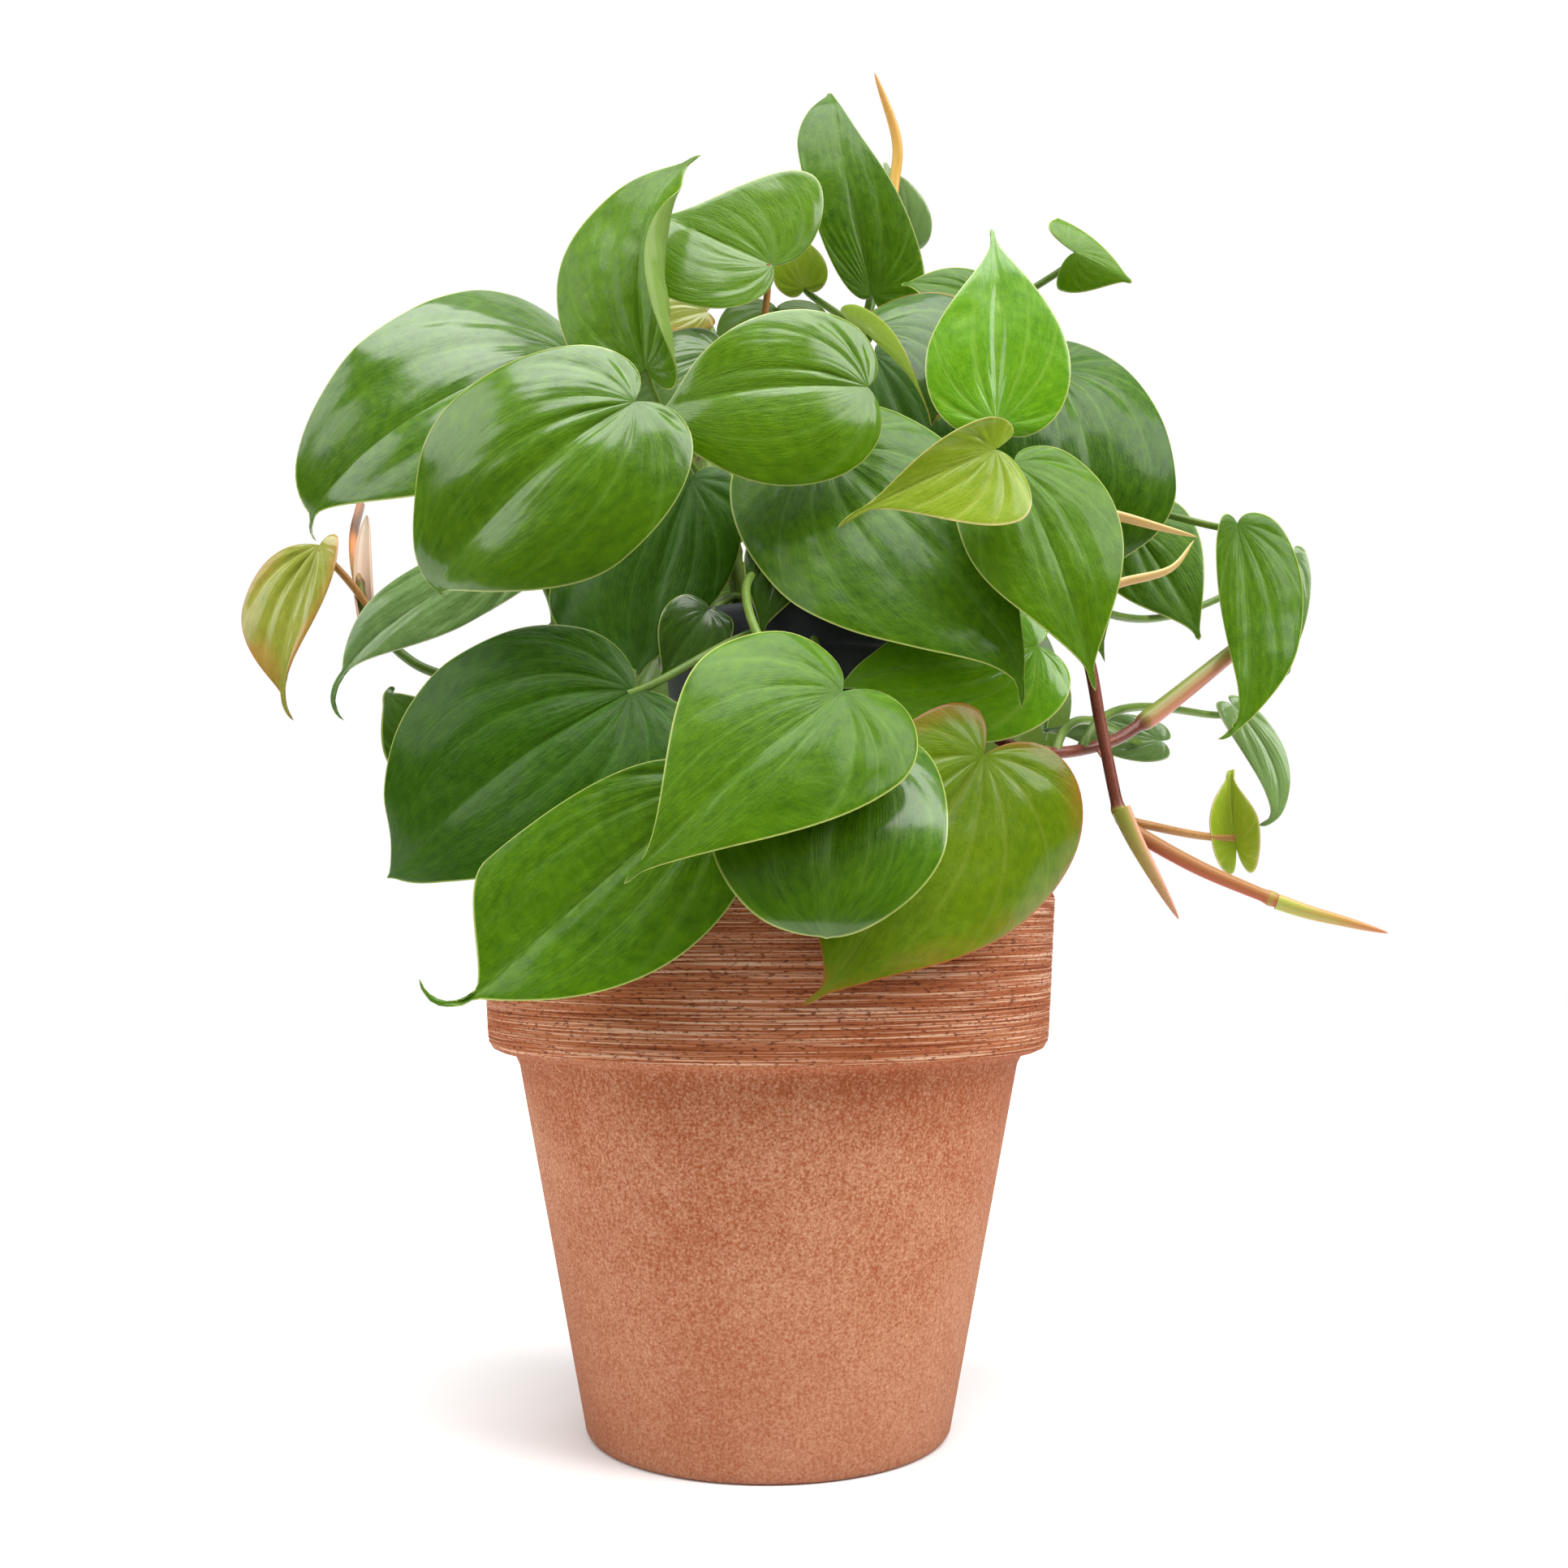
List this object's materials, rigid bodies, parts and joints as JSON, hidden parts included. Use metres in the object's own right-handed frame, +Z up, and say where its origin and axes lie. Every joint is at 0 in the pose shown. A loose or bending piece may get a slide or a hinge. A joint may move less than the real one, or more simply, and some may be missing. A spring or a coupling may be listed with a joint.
{
  "type": "potted heartleaf philodendron",
  "caption": "Bushy trailing house plant with glossy heart-shaped leaves in a nursery pot, standing in a terracotta cover pot with a combed rim band.",
  "frame": {"origin": "centre of the terracotta pot's flat foot, on the surface it stands on", "axes": "+Z up along the cover pot's axis, -Y towards the viewer of the picture, +X to that viewer's right"},
  "size_m": [0.3457, 0.2403, 0.4661],
  "materials": {
    "terracotta": "matt unglazed clay, combed band, pale bloom",
    "potting_soil": "loose dark peat mix",
    "grey_plastic": "thin moulded plastic, satin",
    "leaf_green": "glossy mid-green blade, paler stalk and margin",
    "leaf_dark": "glossy dark green blade",
    "leaf_light": "glossy bright green blade",
    "leaf_young": "soft yellow-green young blade",
    "leaf_bronze": "bronze and yellow-green young blade",
    "leaf_grey": "grey-green blade, turned away from the light",
    "leaf_olive": "olive green blade with a reddish margin",
    "stem_green": "green stem and rear leaves",
    "vine_red": "smooth red-brown vine",
    "dry_sheath": "papery orange sheath",
    "rolled_leaf": "rolled yellow-green new leaf"
  },
  "bodies": {
    "root": {"cover_pot_soil": "potting_soil", "leaf_arrow": "leaf_green", "leaf_centre": "leaf_green", "leaf_centre_folded": "leaf_green", "leaf_centre_large": "leaf_dark", "leaf_far_left_bronze": "leaf_bronze", "leaf_far_right": "leaf_green", "leaf_far_right_edge": "leaf_grey", "leaf_inner_bronze": "leaf_bronze", "leaf_inner_dark": "leaf_dark", "leaf_inner_grey": "leaf_grey", "leaf_inner_pointed": "leaf_dark", "leaf_inner_young": "leaf_young", "leaf_left_back": "leaf_green", "leaf_left_curled": "leaf_dark", "leaf_left_dark": "leaf_dark", "leaf_left_front": "leaf_green", "leaf_left_narrow": "leaf_green", "leaf_left_upright": "leaf_green", "leaf_lower_centre": "leaf_light", "leaf_lower_dark": "leaf_dark", "leaf_lower_left_back": "leaf_dark", "leaf_lower_left_front": "leaf_green", "leaf_lower_right_back": "leaf_green", "leaf_lower_right_olive": "leaf_olive", "leaf_right_back": "leaf_dark", "leaf_right_front": "leaf_green", "leaf_right_small": "leaf_dark", "leaf_right_upright": "leaf_light", "leaf_top": "leaf_dark", "leaf_top_left": "leaf_green", "leaf_top_right_small": "leaf_green", "leaf_top_small": "leaf_light", "leaf_vine_grey": "leaf_grey", "leaf_vine_hanging": "leaf_grey", "leaf_vine_young": "leaf_young", "leaf_young_folded": "leaf_young", "leafy_stem_back": "stem_green", "leafy_stem_left": "stem_green", "leafy_stem_right": "stem_green", "new_leaf_vine": "rolled_leaf", "nursery_pot": "grey_plastic", "nursery_soil": "potting_soil", "sheath_left": "dry_sheath", "sheath_right_lower": "dry_sheath", "sheath_right_upper": "dry_sheath", "sheath_top": "dry_sheath", "sheath_vine": "dry_sheath", "stem_centre": "stem_green", "stem_front": "stem_green", "stem_left_front": "stem_green", "stem_right_front": "stem_green", "terracotta_pot": "terracotta", "vine_left": "vine_red", "vine_lower_right": "vine_red", "vine_right": "vine_red"}
  },
  "joints": []
}
